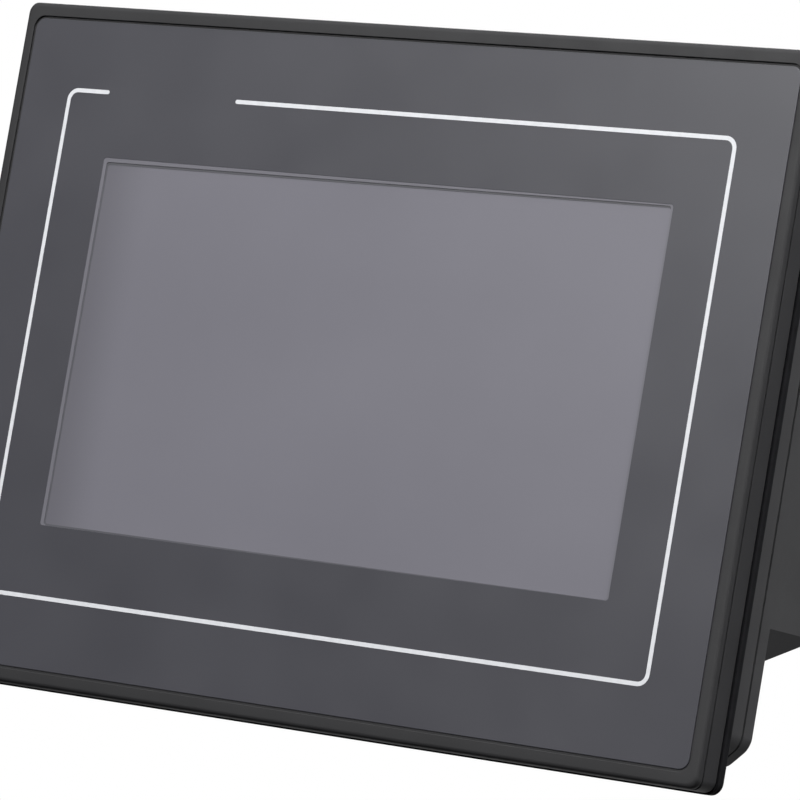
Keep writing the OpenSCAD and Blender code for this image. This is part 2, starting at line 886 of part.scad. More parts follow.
module battery_contacts() {
    x = battery_at[0];
    z = battery_at[1];
    y0 = cell_y - spring_drop;
    color(gold) {
        block(x - spring_w / 2, x + spring_w / 2, y0, y0 + spring_t, z - 13, z - 2);
        block(x - 2, x + 2, y0 + spring_t - eps, cell_y, z - 5, z - 2);
    }
}

module battery_door() {
    tab = [8, 2.6, 1.4];
    edge = (door_size - door_rim) / 2 - 0.4;
    groove = [1.2, 0.6];
    groove_pitch = 2.4;
    color([0.24, 0.24, 0.25]) {
        difference() {
            slab(door_size, door_size, rear_y - door_t, rear_y, 1.7, battery_at);
            for (i = [-2:2]) {
                x = battery_at[0] + i * groove_pitch;
                block(x - groove[0] / 2, x + groove[0] / 2, rear_y - groove[1], rear_y + 1,
                    battery_at[1] + 9, battery_at[1] + 14);
            }
        }
        for (s = [-1, 1]) translate([battery_at[0] + s * (edge - tab[2] / 2), 0, battery_at[1]])
            block(-tab[2] / 2, tab[2] / 2, rear_y - door_t - tab[1], rear_y - door_t + eps,
                -tab[0] / 2, tab[0] / 2);
    }
}

module system_switch() {
    color([0.15, 0.15, 0.15]) difference() {
        slab(6, 6, board_back, switch_top, 0.3, button_at);
        rod_y(plunger_r + button_fit, board_back + 1.2, switch_top + 1, button_at);
    }
}

module switch_plunger() {
    color([0.05, 0.05, 0.05]) rod_y(plunger_r, board_back + 2, plunger_top, button_at);
}

module system_button() {
    collar_y = 29;
    collar_w = 1.2;
    color([0.30, 0.30, 0.31]) {
        rod_y(button_r / 2, plunger_top, collar_y, button_at);
        rod_y(button_r + collar_w, collar_y - 1, collar_y + 0.2, button_at);
        rod_y(button_r, collar_y, rear_y - button_sink, button_at);
    }
}

front_bezel();
overlay_film();
outline_print();
touch_glass();
touch_tail();
display_gasket();
lcd_cell();
lcd_frame();
backlight_unit();
lcd_flex();
backlight_lead();
chassis_plate();
chassis_screws();
panel_gasket();
front_housing();
rear_cover();
rear_cover_screws();
main_board();
board_standoffs();
board_screws();
processor();
heat_sink();
memory_chips();
power_coil();
capacitors();
buzzer();
board_sockets();
ethernet_port();
usb_host_port();
usb_device_port();
com1_port();
com2_port();
jack_screws();
power_terminal();
terminal_contacts();
terminal_screw_1();
terminal_screw_2();
terminal_screw_3();
terminal_clamp_1();
terminal_clamp_2();
terminal_clamp_3();
battery_holder();
coin_cell();
battery_contacts();
battery_door();
rating_label();
system_switch();
switch_plunger();
system_button();
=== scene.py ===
"""Looks of a wide-screen touch operator panel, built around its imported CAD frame.

Lengths are in millimetres until a mesh is made. X runs to the right, Y from the screen into the
cabinet and Z up, as in the CAD. Colours are linear.
"""
import json
import math

import bmesh
import bpy
from mathutils import Matrix, Vector


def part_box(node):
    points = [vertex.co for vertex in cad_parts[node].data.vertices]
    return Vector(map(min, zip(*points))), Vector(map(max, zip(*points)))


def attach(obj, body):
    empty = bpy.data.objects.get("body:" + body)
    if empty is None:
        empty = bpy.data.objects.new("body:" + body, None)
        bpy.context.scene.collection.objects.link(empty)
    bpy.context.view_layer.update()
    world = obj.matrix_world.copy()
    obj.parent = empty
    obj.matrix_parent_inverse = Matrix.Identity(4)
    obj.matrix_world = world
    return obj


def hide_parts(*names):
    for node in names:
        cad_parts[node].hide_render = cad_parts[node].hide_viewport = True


MM = 0.001
MICROMETRE = MM * MM

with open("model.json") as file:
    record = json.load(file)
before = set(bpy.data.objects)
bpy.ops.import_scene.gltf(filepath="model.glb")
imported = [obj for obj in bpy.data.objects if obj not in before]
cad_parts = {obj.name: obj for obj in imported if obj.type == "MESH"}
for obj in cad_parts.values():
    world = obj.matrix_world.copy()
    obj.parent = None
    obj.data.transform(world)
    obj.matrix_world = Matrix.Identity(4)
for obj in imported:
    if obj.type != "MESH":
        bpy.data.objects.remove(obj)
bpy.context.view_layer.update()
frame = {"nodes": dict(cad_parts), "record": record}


# ---- places, from the frame ----


def node_box(node):
    """Lowest and highest corner of a CAD node, in millimetres."""
    low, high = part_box(node)
    return low / MM, high / MM


BEZEL_LOW, BEZEL_HIGH = node_box("front_bezel")
BEZEL = (BEZEL_HIGH.x - BEZEL_LOW.x, BEZEL_HIGH.z - BEZEL_LOW.z)
BEZEL_FRONT = BEZEL_LOW.y
FILM_LOW, FILM_HIGH = node_box("overlay_film")
FILM = (FILM_HIGH.x - FILM_LOW.x, FILM_HIGH.z - FILM_LOW.z)
FILM_FRONT = FILM_LOW.y
FILM_BACK = FILM_HIGH.y
GASKET_LOW, GASKET_HIGH = node_box("panel_gasket")
GASKET = (GASKET_HIGH.x - GASKET_LOW.x, GASKET_HIGH.z - GASKET_LOW.z)
GASKET_BACK = GASKET_HIGH.y
BODY_LOW, BODY_HIGH = node_box("front_housing")
BODY_Z = (BODY_LOW.z + BODY_HIGH.z) / 2

# The CAD's other sizes, which no node's box gives. A pair is a width and a height, or a place (x, z),
# unless its comment says otherwise. R is the radius of the corners.
BEZEL_R = 2.5
RECESS_R = 3.0
RECESS_GAP = 0.55
SIDE_GROOVE = (1.8, 2.4)  # start and end, behind the bezel's front face
WINDOW = (155.6, 87.4)
WINDOW_AT = (0.2, 0.7)
WINDOW_R = 0.8
OUTLINE = (181.7, 119.7)
OUTLINE_R = 2.4
OUTLINE_STROKE = 0.98
OUTLINE_GAP = (11.0, 48.5)  # start and end, from the outline's left side
TOUCH_OPENING = (165.6, 100.6)
TOUCH_OPENING_R = 1.0
GASKET_HOLE = (198.4, 144.3)
GASKET_HOLE_R = 1.0
D_PLATE = 12.5  # depth of a nine-pole port's metal plate
D_MOUTH = (16.3, 14.2, 7.9)  # widths of its wide and narrow sides, and their distance
D_MOUTH_R = 1.8
PIN_PITCH = 2.76
PIN_ROW = 1.42  # from the port's middle to a row of its contacts
POLES = 3
MIDDLE = (0.0, 0.0)


# ---- camera ----

# Angles are in degrees.
AIM = Vector((16.2, -8.0, -4.7))
CAMERA_DISTANCE = 1138.0
CAMERA_HEADING = 33.8
CAMERA_RISE = 4.93
CAMERA_ROLL = 9.65
CAMERA_LENS = 229.5


def make_camera():
    """The camera stands to the right of the panel, a little low, and leans."""
    heading = math.radians(CAMERA_HEADING)
    rise = math.radians(CAMERA_RISE)
    roll = math.radians(CAMERA_ROLL)
    ahead = math.cos(rise)
    forward = Vector((-math.sin(heading) * ahead, math.cos(heading) * ahead, math.sin(rise)))
    level = forward.cross(Vector((0, 0, 1))).normalized()
    upright = level.cross(forward)
    right = level * math.cos(roll) + upright * math.sin(roll)
    up = upright * math.cos(roll) - level * math.sin(roll)
    data = bpy.data.cameras.new("camera")
    data.lens = CAMERA_LENS
    data.sensor_width = 36
    data.clip_start = 0.05
    data.clip_end = 20
    camera = bpy.data.objects.new("camera", data)
    turn = Matrix((right, up, -forward)).transposed()
    camera.matrix_world = Matrix.Translation((AIM - forward * CAMERA_DISTANCE) * MM) @ turn.to_4x4()
    bpy.context.scene.collection.objects.link(camera)
    bpy.context.scene.camera = camera


# ---- light ----

# Name, azimuth and height in degrees, distance and size in metres, power in watts.
LIGHTS = [
    ("key", 32, 42, 2.2, 0.5, 27),
    ("top", 0, 62, 0.8, 0.4, 2.6),
    ("sheen", -16, 21, 2.2, 0.4, 24),
    ("side", 88, 50, 1.4, 0.7, 22),
    ("back", 205, 35, 2.4, 1.6, 55),
    ("under", 190, -30, 2.0, 2.2, 7),
]


def area_light(name, azimuth, height, distance, size, power):
    """A soft square light that looks at the panel. Azimuth 0 is in front of it, 90 on its right."""
    turn, tilt = math.radians(azimuth), math.radians(height)
    away = Vector((math.sin(turn) * math.cos(tilt), -math.cos(turn) * math.cos(tilt), math.sin(tilt)))
    data = bpy.data.lights.new(name, "AREA")
    data.shape = "SQUARE"
    data.size = size
    data.energy = power
    light = bpy.data.objects.new(name, data)
    light.location = away * distance
    light.rotation_euler = away.to_track_quat("Z", "Y").to_euler()
    bpy.context.scene.collection.objects.link(light)


def make_world():
    """White to the eye, and a dimmer soft dome as light, darker from below."""
    world = bpy.data.worlds.new("studio")
    bpy.context.scene.world = world
    world.use_nodes = True
    tree = world.node_tree
    tree.nodes.clear()
    output = tree.nodes.new("ShaderNodeOutputWorld")
    seen = tree.nodes.new("ShaderNodeBackground")
    seen.inputs["Color"].default_value = (1, 1, 1, 1)
    light = tree.nodes.new("ShaderNodeBackground")
    place = tree.nodes.new("ShaderNodeTexCoord")
    split = tree.nodes.new("ShaderNodeSeparateXYZ")
    tree.links.new(place.outputs["Generated"], split.inputs[0])
    ramp = tree.nodes.new("ShaderNodeValToRGB")
    ramp.color_ramp.elements[0].position = 0.4
    ramp.color_ramp.elements[0].color = (0.012, 0.012, 0.014, 1)
    ramp.color_ramp.elements[1].position = 0.9
    ramp.color_ramp.elements[1].color = (0.42, 0.42, 0.45, 1)
    height = tree.nodes.new("ShaderNodeMapRange")
    height.inputs["From Min"].default_value = -1
    height.inputs["From Max"].default_value = 1
    tree.links.new(split.outputs["Z"], height.inputs["Value"])
    tree.links.new(height.outputs[0], ramp.inputs[0])
    tree.links.new(ramp.outputs[0], light.inputs["Color"])
    path = tree.nodes.new("ShaderNodeLightPath")
    mix = tree.nodes.new("ShaderNodeMixShader")
    tree.links.new(path.outputs["Is Camera Ray"], mix.inputs[0])
    tree.links.new(light.outputs[0], mix.inputs[1])
    tree.links.new(seen.outputs[0], mix.inputs[2])
    tree.links.new(mix.outputs[0], output.inputs["Surface"])


def make_floor():
    """A plain pale floor, far below, that glows so that it looks even. It lights nothing."""
    half = 12.0
    height = -2.0
    mesh = bpy.data.meshes.new("floor")
    corners = [(x * half, y * half, height) for x, y in ((-1, -1), (1, -1), (1, 1), (-1, 1))]
    mesh.from_pydata(corners, [], [(0, 1, 2, 3)])
    floor = bpy.data.objects.new("floor", mesh)
    bpy.context.scene.collection.objects.link(floor)
    paint = Surface("floor_paint", (0.30, 0.30, 0.30), 0.9).mottle(120, 0.01).grain(4, 20)
    paint.shader.inputs["Emission Color"].default_value = (0.78, 0.78, 0.79, 1)
    paint.shader.inputs["Emission Strength"].default_value = 1.0
    floor.data.materials.append(paint.material)
    floor.visible_diffuse = False
    floor.visible_glossy = False


# ---- materials ----

# How many finer layers the noise has, for patches of colour or gloss and for relief.
PATCH_DETAIL = 3.0
GRAIN_DETAIL = 1.5


class Surface:
    """One Principled material whose colour, gloss and relief come from noise at real sizes."""

    def __init__(self, name, colour, roughness, metallic=0.0, specular=0.5):
        self.material = bpy.data.materials.new(name)
        self.material.use_nodes = True
        self.tree = self.material.node_tree
        self.shader = self.tree.nodes["Principled BSDF"]
        self.colour = colour
        self.roughness = roughness
        self.shader.inputs["Base Color"].default_value = (*colour, 1)
        self.shader.inputs["Roughness"].default_value = roughness
        self.shader.inputs["Metallic"].default_value = metallic
        self.shader.inputs["Specular IOR Level"].default_value = specular
        self.place = self.tree.nodes.new("ShaderNodeTexCoord")
        self.normal = None

    def noise(self, size, detail, stretch):
        """Noise whose features are about size millimetres wide, longer where stretch is more than 1."""
        mapping = self.tree.nodes.new("ShaderNodeMapping")
        mapping.inputs["Scale"].default_value = [1 / (s * size * MM) for s in stretch]
        self.tree.links.new(self.place.outputs["Object"], mapping.inputs["Vector"])
        noise = self.tree.nodes.new("ShaderNodeTexNoise")
        noise.inputs["Scale"].default_value = 1
        noise.inputs["Detail"].default_value = detail
        self.tree.links.new(mapping.outputs[0], noise.inputs["Vector"])
        return noise.outputs["Fac"]

    def spread(self, value, low, high, start=0.3, end=0.7):
        """Maps a noise value to low at start and to high at end, and not past them."""
        node = self.tree.nodes.new("ShaderNodeMapRange")
        node.inputs["From Min"].default_value = start
        node.inputs["From Max"].default_value = end
        node.inputs["To Min"].default_value = low
        node.inputs["To Max"].default_value = high
        self.tree.links.new(value, node.inputs["Value"])
        return node.outputs[0]

    def mix(self, factor, first, second):
        """Colour that goes from first, a colour or an output, to second with the factor."""
        node = self.tree.nodes.new("ShaderNodeMix")
        node.data_type = "RGBA"
        if isinstance(first, bpy.types.NodeSocket):
            self.tree.links.new(first, node.inputs["A"])
        else:
            node.inputs["A"].default_value = (*first, 1)
        node.inputs["B"].default_value = (*second, 1)
        self.tree.links.new(factor, node.inputs["Factor"])
        return node.outputs["Result"]

    def mottle(self, size, amount, stretch=(1, 1, 1)):
        """Colour that drifts a little lighter and darker over patches of this size."""
        darker = [c * (1 - amount) for c in self.colour]
        lighter = [c * (1 + amount) for c in self.colour]
        factor = self.spread(self.noise(size, PATCH_DETAIL, stretch), 0, 1)
        self.tree.links.new(self.mix(factor, darker, lighter), self.shader.inputs["Base Color"])
        return self

    def fade(self, shade_colour, edge, width):
        """Painted shade: colour that goes softly from the shade colour at this X to the surface's own.
        """
        split = self.tree.nodes.new("ShaderNodeSeparateXYZ")
        self.tree.links.new(self.place.outputs["Object"], split.inputs[0])
        ramp = self.tree.nodes.new("ShaderNodeMapRange")
        ramp.interpolation_type = "SMOOTHSTEP"
        ramp.inputs["From Min"].default_value = edge * MM
        ramp.inputs["From Max"].default_value = (edge + width) * MM
        ramp.inputs["To Min"].default_value = 1
        ramp.inputs["To Max"].default_value = 0
        self.tree.links.new(split.outputs["X"], ramp.inputs["Value"])
        own = self.shader.inputs["Base Color"].links[0].from_socket
        faded = self.mix(ramp.outputs[0], own, shade_colour)
        self.tree.links.new(faded, self.shader.inputs["Base Color"])
        return self

    def smears(self, size, amount, stretch=(1, 1, 1)):
        """Gloss that drifts over patches of this size."""
        value = self.noise(size, PATCH_DETAIL, stretch)
        rough = self.spread(value, self.roughness - amount, self.roughness + amount)
        self.tree.links.new(rough, self.shader.inputs["Roughness"])
        return self

    def grain(self, size, depth, stretch=(1, 1, 1)):
        """Relief of this grain size, with depth in micrometres."""
        bump = self.tree.nodes.new("ShaderNodeBump")
        bump.inputs["Distance"].default_value = depth * MICROMETRE
        bump.inputs["Strength"].default_value = 1
        self.tree.links.new(self.noise(size, GRAIN_DETAIL, stretch), bump.inputs["Height"])
        if self.normal is not None:
            self.tree.links.new(self.normal, bump.inputs["Normal"])
        self.normal = bump.outputs[0]
        self.tree.links.new(self.normal, self.shader.inputs["Normal"])
        return self


def moulded(name, colour, roughness, grain=0.45, depth=9, specular=0.4):
    """Injection-moulded plastic: fine spark-eroded grain, slow flow marks and uneven gloss."""
    surface = Surface(name, colour, roughness, specular=specular)
    surface.mottle(14, 0.08).smears(9, 0.05).grain(grain, depth).grain(3.0, 4)
    return surface.material


def rubber(name, colour, roughness, grain, depth):
    """Rubber or foam: matt, with coarse relief and uneven colour."""
    surface = Surface(name, colour, roughness, specular=0.12)
    surface.mottle(4, 0.22).smears(6, 0.06).grain(grain, depth).grain(2.0, depth)
    return surface.material


def print_film():
    """Matt polyester film, printed grey on its back: a fine velvet texture over an even colour."""
    surface = Surface("printed_film", (0.050, 0.050, 0.059), 0.36)
    surface.mottle(45, 0.05).smears(22, 0.03).grain(0.14, 3.5).grain(1.6, 1.5)
    surface.shader.inputs["Coat Weight"].default_value = 0.08
    surface.shader.inputs["Coat Roughness"].default_value = 0.35
    return surface.material


def ink(name, colour):
    """Screen-printed ink: slightly uneven cover, and the mesh of the screen in its gloss."""
    surface = Surface(name, colour, 0.38)
    return surface.mottle(1.4, 0.04).smears(2.5, 0.05).grain(0.12, 2).material


def touch_face():
    """Hard-coated touch surface over a dark display: faint wipe marks, and painted shade that darkens
    it towards its left end.
    """
    # Painted shade near the window's left edge: its colour, and over how many millimetres it fades out.
    painted_shade = (0.116, 0.114, 0.132)
    shade_width = 16
    surface = Surface("touch_surface", (0.155, 0.152, 0.176), 0.37)
    surface.mottle(60, 0.04).smears(30, 0.03, stretch=(3, 1, 1)).grain(0.10, 1.6).grain(2.4, 0.8)
    return surface.fade(painted_shade, -WINDOW[0] / 2, shade_width).material


def glassy(name, colour, roughness):
    """Polished sheet with slight handling marks."""
    return Surface(name, colour, roughness).mottle(40, 0.05).smears(12, 0.03).grain(6, 0.6).material


def metal(name, colour, roughness, stretch=(1, 1, 1)):
    """Plated or rolled metal. Stretch draws the marks out along the way it was rolled or drawn."""
    surface = Surface(name, colour, roughness, metallic=1.0)
    surface.mottle(5, 0.07, stretch=stretch).smears(2.5, 0.08, stretch=stretch)
    return surface.grain(0.25, 1.5, stretch=stretch).grain(1.8, 1.5).material


def circuit_board():
    """Solder mask over copper: lighter where tracks run under it, in two directions."""
    surface = Surface("board_mask", (0.012, 0.105, 0.045), 0.32)
    bare = (0.010, 0.075, 0.034)
    track = (0.024, 0.160, 0.070)
    across = surface.spread(surface.noise(0.7, 1, (14, 1, 1)), 0, 1, 0.55, 0.57)
    upward = surface.spread(surface.noise(0.8, 1, (1, 1, 14)), 0, 1, 0.57, 0.59)
    first = surface.mix(across, bare, track)
    surface.tree.links.new(surface.mix(upward, first, track), surface.shader.inputs["Base Color"])
    return surface.smears(8, 0.05).grain(0.9, 8).material


def flat_cable():
    """Amber polyimide with copper tracks that show through along its length."""
    amber = (0.50, 0.21, 0.04)
    track = (0.30, 0.10, 0.02)
    surface = Surface("flex_amber", amber, 0.3)
    lines = surface.spread(surface.noise(0.5, 0, (1, 60, 60)), 0, 1, 0.48, 0.52)
    surface.tree.links.new(surface.mix(lines, amber, track), surface.shader.inputs["Base Color"])
    return surface.smears(4, 0.05).grain(0.5, 4).material


def brushed_foil():
    """Silver label foil, brushed along its length."""
    surface = Surface("label_silver", (0.46, 0.46, 0.455), 0.52, metallic=0.25)
    surface.mottle(3, 0.05, stretch=(20, 1, 1)).smears(2, 0.07, stretch=(20, 1, 1))
    return surface.grain(0.15, 1.5, stretch=(30, 1, 1)).material


def make_materials():
    """Every material, under its own name, which is also the name of a slot for most."""
    return {
        "charcoal_plastic": moulded("charcoal_plastic", (0.0225, 0.0225, 0.0235), 0.56, specular=0.35),
        "door_plastic": moulded("door_plastic", (0.043, 0.043, 0.045), 0.55, grain=0.6),
        "button_grey": moulded("button_grey", (0.075, 0.075, 0.080), 0.45, grain=0.3, depth=5),
        "chip_black": moulded("chip_black", (0.018, 0.018, 0.019), 0.58, grain=0.15, depth=5),
        "port_insulator": moulded("port_insulator", (0.022, 0.022, 0.024), 0.50, grain=0.2, depth=4),
        "socket_ivory": moulded("socket_ivory", (0.76, 0.72, 0.60), 0.48, grain=0.3, depth=4),
        "terminal_green": moulded("terminal_green", (0.022, 0.205, 0.080), 0.42, grain=0.3, depth=5),
        "lead_pvc": moulded("lead_pvc", (0.030, 0.030, 0.031), 0.40, grain=0.4, depth=4),
        "ferrite": moulded("ferrite", (0.045, 0.045, 0.047), 0.78, grain=0.35, depth=22),
        "seal_rubber": rubber("seal_rubber", (0.006, 0.006, 0.007), 0.85, 0.35, 12),
        "foam": rubber("foam", (0.030, 0.030, 0.032), 0.92, 0.5, 60),
        "printed_film": print_film(),
        "white_ink": ink("white_ink", (0.66, 0.67, 0.69)),
        "touch_surface": touch_face(),
        "clear_edge": glassy("clear_edge", (0.140, 0.138, 0.157), 0.36),
        # Dark grey that stands for painted shadow along the inner edge of the window.
        "painted_edge_shadow": glassy("painted_edge_shadow", (0.078, 0.078, 0.088), 0.45),
        "cover_plastic": moulded("cover_plastic", (0.040, 0.040, 0.041), 0.60, grain=0.6, depth=12),
        "display_black": glassy("display_black", (0.012, 0.012, 0.018), 0.14),
        "diffuser": glassy("diffuser", (0.84, 0.84, 0.81), 0.48),
        "sheet_steel": metal("sheet_steel", (0.60, 0.60, 0.59), 0.38, (1, 1, 6)),
        "screw_steel": metal("screw_steel", (0.55, 0.56, 0.57), 0.30),
        "brass_parts": metal("brass_parts", (0.72, 0.50, 0.20), 0.28),
        "fin_aluminium": metal("fin_aluminium", (0.62, 0.63, 0.65), 0.36, (1, 1, 12)),
        "can_aluminium": metal("can_aluminium", (0.70, 0.71, 0.73), 0.26, (1, 8, 1)),
        "port_metal": metal("port_metal", (0.66, 0.67, 0.68), 0.27, (8, 1, 1)),
        "tinned_copper": metal("tinned_copper", (0.70, 0.70, 0.69), 0.30),
        "cell_steel": metal("cell_steel", (0.68, 0.69, 0.70), 0.22, (10, 1, 1)),
        "board_mask": circuit_board(),
        "flex_amber": flat_cable(),
        "label_silver": brushed_foil(),
    }


MATERIALS = {}


# ---- meshes ----

# How many straight runs stand for a curve.
CORNER_STEPS = 10
QUAD_STEPS = 6
EASE_STEPS = 4
CAP_STEPS = 8
D_STEPS = 6
CIRCLE_STEPS = 20

CORNERS = ((1, 1), (-1, 1), (-1, -1), (1, -1))  # signs of x and z, from the top right leftwards
SWEPT_SHARP = 40  # degrees
MERGE = 1e-7  # metres
MITRE_LIMIT = 0.5  # least cosine of half a bend for which a stroke keeps its full width


def new_piece(name, mesh, body, slot, replaced=(), material=None):
    """Adds a mesh as a piece on a body, with its slot's material or another.

    The piece stands in for the replaced nodes.
    """
    piece = bpy.data.objects.new(name, mesh)
    bpy.context.scene.collection.objects.link(piece)
    mesh.materials.clear()
    mesh.materials.append(MATERIALS[material or slot])
    flat = piece.modifiers.new("flat_faces", "WEIGHTED_NORMAL")
    flat.weight = 100
    flat.keep_sharp = True
    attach(piece, body)
    if replaced:
        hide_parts(*replaced)
    return piece


def smooth(mesh, angle):
    """Smooth shading, with edges that turn by more than the angle kept sharp."""
    mesh.polygons.foreach_set("use_smooth", [True] * len(mesh.polygons))
    mesh.set_sharp_from_angle(angle=math.radians(angle))
    mesh.update()


def arc(centre, radius, turn, steps):
    """Points on a quarter circle in a plane. Turn counts quarters from the first axis to the second."""
    angles = [math.pi / 2 * (turn + step / steps) for step in range(steps + 1)]
    return [(centre[0] + radius * math.cos(a), centre[1] + radius * math.sin(a)) for a in angles]


def curve(start, corner, end, steps):
    """Points on the curve that leaves start and reaches end along lines to the corner."""
    parts = [step / steps for step in range(steps + 1)]
    return [start * (1 - t) ** 2 + corner * (2 * t * (1 - t)) + end * t**2 for t in parts]


def rounded_loop(width, height, radius, y, centre=MIDDLE):
    """Points round a rectangle with round corners, in the plane at depth y."""
    points = []
    for turn, (sx, sz) in enumerate(CORNERS):
        corner = (centre[0] + sx * (width / 2 - radius), centre[1] + sz * (height / 2 - radius))
        points += [(x, y, z) for x, z in arc(corner, radius, turn, CORNER_STEPS)]
    return points


def ease_profile(profile):
    """Rounds the corners of a closed profile.

    Each entry is (width, height, radius, y, centre_x, centre_z, ease), and ease is the size of the
    rounding.
    """
    made = []
    for index, entry in enumerate(profile):
        here = Vector(entry[:6])
        ease = entry[6]
        if ease == 0:
            made.append(here)
            continue
        ends = []
        for other in (profile[index - 1], profile[(index + 1) % len(profile)]):
            step = Vector(other[:6]) - here
            length = max(math.hypot(step[0] / 2, step[3]), math.hypot(step[1] / 2, step[3]))
            ends.append(here + step * (ease / length))
        made += curve(ends[0], here, ends[1], EASE_STEPS)
    return made


def sweep(name, loops, closed):
    """Mesh through loops of equally many points.

    A closed one joins its last loop to its first, and any other has a face over each end.
    """
    count = len(loops[0])
    points = [Vector(p) * MM for loop in loops for p in loop]
    faces = []
    for a in range(len(loops) if closed else len(loops) - 1):
        b = (a + 1) % len(loops)
        for i in range(count):
            j = (i + 1) % count
            faces.append((a * count + i, a * count + j, b * count + j, b * count + i))
    if not closed:
        faces.append(tuple(range(count)))
        faces.append(tuple(range((len(loops) - 1) * count, len(loops) * count)))
    mesh = bpy.data.meshes.new(name)
    mesh.from_pydata(points, [], faces)
    work = bmesh.new()
    work.from_mesh(mesh)
    bmesh.ops.remove_doubles(work, verts=work.verts, dist=MERGE)
    bmesh.ops.recalc_face_normals(work, faces=work.faces)
    work.to_mesh(mesh)
    work.free()
    smooth(mesh, SWEPT_SHARP)
    return mesh


def ring(name, profile):
    """Solid ring swept round rounded rectangles: the profile goes once round its section."""
    loops = [rounded_loop(w, h, r, y, (x, z)) for w, h, r, y, x, z in ease_profile(profile)]
    return sweep(name, loops, True)


def rounded_quad(corners, radius, y):
    """Points round four corners (x, z), each rounded off, in the plane at depth y."""
    points = []
    for index, corner in enumerate(corners):
        here = Vector(corner)
        before = here + (Vector(corners[index - 1]) - here).normalized() * radius
        after = here + (Vector(corners[(index + 1) % 4]) - here).normalized() * radius
        points += [(x, y, z) for x, z in curve(before, here, after, QUAD_STEPS)]
    return points


def stroke(name, path, width, y0, y1):
    """A flat line of this width with round ends, from y0 to y1, along points (x, z)."""
    points = [Vector(p) for p in path]
    ways = [(b - a).normalized() for a, b in zip(points, points[1:])]
    half = width / 2
    left, right = [], []
    for index, point in enumerate(points):
        before = ways[max(index - 1, 0)]
        after = ways[min(index, len(ways) - 1)]
        way = (before + after).normalized()
        side = Vector((-way.y, way.x)) * half / max(way.dot(after), MITRE_LIMIT)
        left.append(point + side)
        right.append(point - side)
    caps = []
    for centre, way in ((points[-1], ways[-1]), (points[0], -ways[0])):
        start = math.atan2(way.y, way.x) + math.pi / 2
        angles = [start - math.pi * k / CAP_STEPS for k in range(1, CAP_STEPS)]
        caps.append([centre + half * Vector((math.cos(a), math.sin(a))) for a in angles])
    outline = left + caps[0] + right[::-1] + caps[1]
    return prism(name, outline, y0, y1)


def prism(name, outline, y0, y1):
    """Solid between two copies of an outline of (x, z) points, at y0 and y1."""
    loops = [[(p[0], y, p[1]) for p in outline] for y in (y0, y1)]
    return sweep(name, loops, False)


# ---- front ----


def make_bezel():
    """Flat rim round the film's recess. Its sides taper to the front and have a shadow groove."""
    taper = 0.15
    groove_depth = 0.35
    sharp = 0.12
    groove_front, groove_back = (BEZEL_FRONT + reach for reach in SIDE_GROOVE)

    def side(y, inset=0.0):
        inset += taper * y / BEZEL_FRONT
        return (BEZEL[0] - 2 * inset, BEZEL[1] - 2 * inset, BEZEL_R - inset, y)

    recess = (FILM[0] + 2 * RECESS_GAP, FILM[1] + 2 * RECESS_GAP)
    profile = [
        (*side(0), *MIDDLE, 0.8),
        (*side(groove_back), *MIDDLE, sharp),
        (*side(groove_back, groove_depth), *MIDDLE, 0),
        (*side(groove_front, groove_depth), *MIDDLE, 0),
        (*side(groove_front), *MIDDLE, sharp),
        (*side(BEZEL_FRONT), *MIDDLE, 1.1),
        (*recess, RECESS_R, BEZEL_FRONT, *MIDDLE, 0.15),
        (*recess, RECESS_R, FILM_BACK, *MIDDLE, 0),
        (*TOUCH_OPENING, TOUCH_OPENING_R, FILM_BACK, *MIDDLE, 0),
        (*TOUCH_OPENING, TOUCH_OPENING_R, 0, *MIDDLE, 0),
    ]
    mesh = ring("bezel_shell", profile)
    new_piece("bezel_shell", mesh, "panel", "charcoal_plastic", ["front_bezel"])


def make_film():
    """Printed film with a soft cut edge outside and round the window."""
    outer_r = RECESS_R - RECESS_GAP
    profile = [
        (*FILM, outer_r, FILM_BACK, *MIDDLE, 0),
        (*FILM, outer_r, FILM_FRONT, *MIDDLE, 0.16),
        (*WINDOW, WINDOW_R, FILM_FRONT, *WINDOW_AT, 0.05),
        (*WINDOW, WINDOW_R, FILM_BACK, *WINDOW_AT, 0),
    ]
    new_piece("film_sheet", ring("film_sheet", profile), "panel", "printed_film", ["overlay_film"])


def make_outline():
    """Printed line round the display, with a gap in its top and round ends."""
    low, high = node_box("outline_print")
    left, top = -OUTLINE[0] / 2, OUTLINE[1] / 2
    corners = rounded_loop(*OUTLINE, OUTLINE_R, 0)
    per_corner = len(corners) // 4
    round_trip = [(x, z) for x, _, z in corners]
    path = [(left + OUTLINE_GAP[0], top)]
    path += round_trip[per_corner:] + round_trip[:per_corner]
    path.append((left + OUTLINE_GAP[1], top))
    mesh = stroke("outline_stroke", path, OUTLINE_STROKE, low.y, high.y)
    new_piece("outline_stroke", mesh, "panel", "white_ink", ["outline_print"])


def window_loop(insets, radius, y):
    """Loop inside the film's window, with an inset (x, z) for each of the corners."""
    corners = []
    for (sx, sz), (dx, dz) in zip(CORNERS, insets):
        x = sx * (WINDOW[0] / 2 - dx)
        z = sz * (WINDOW[1] / 2 - dz)
        corners.append((WINDOW_AT[0] + x, WINDOW_AT[1] + z))
    return rounded_quad(corners, radius, y)


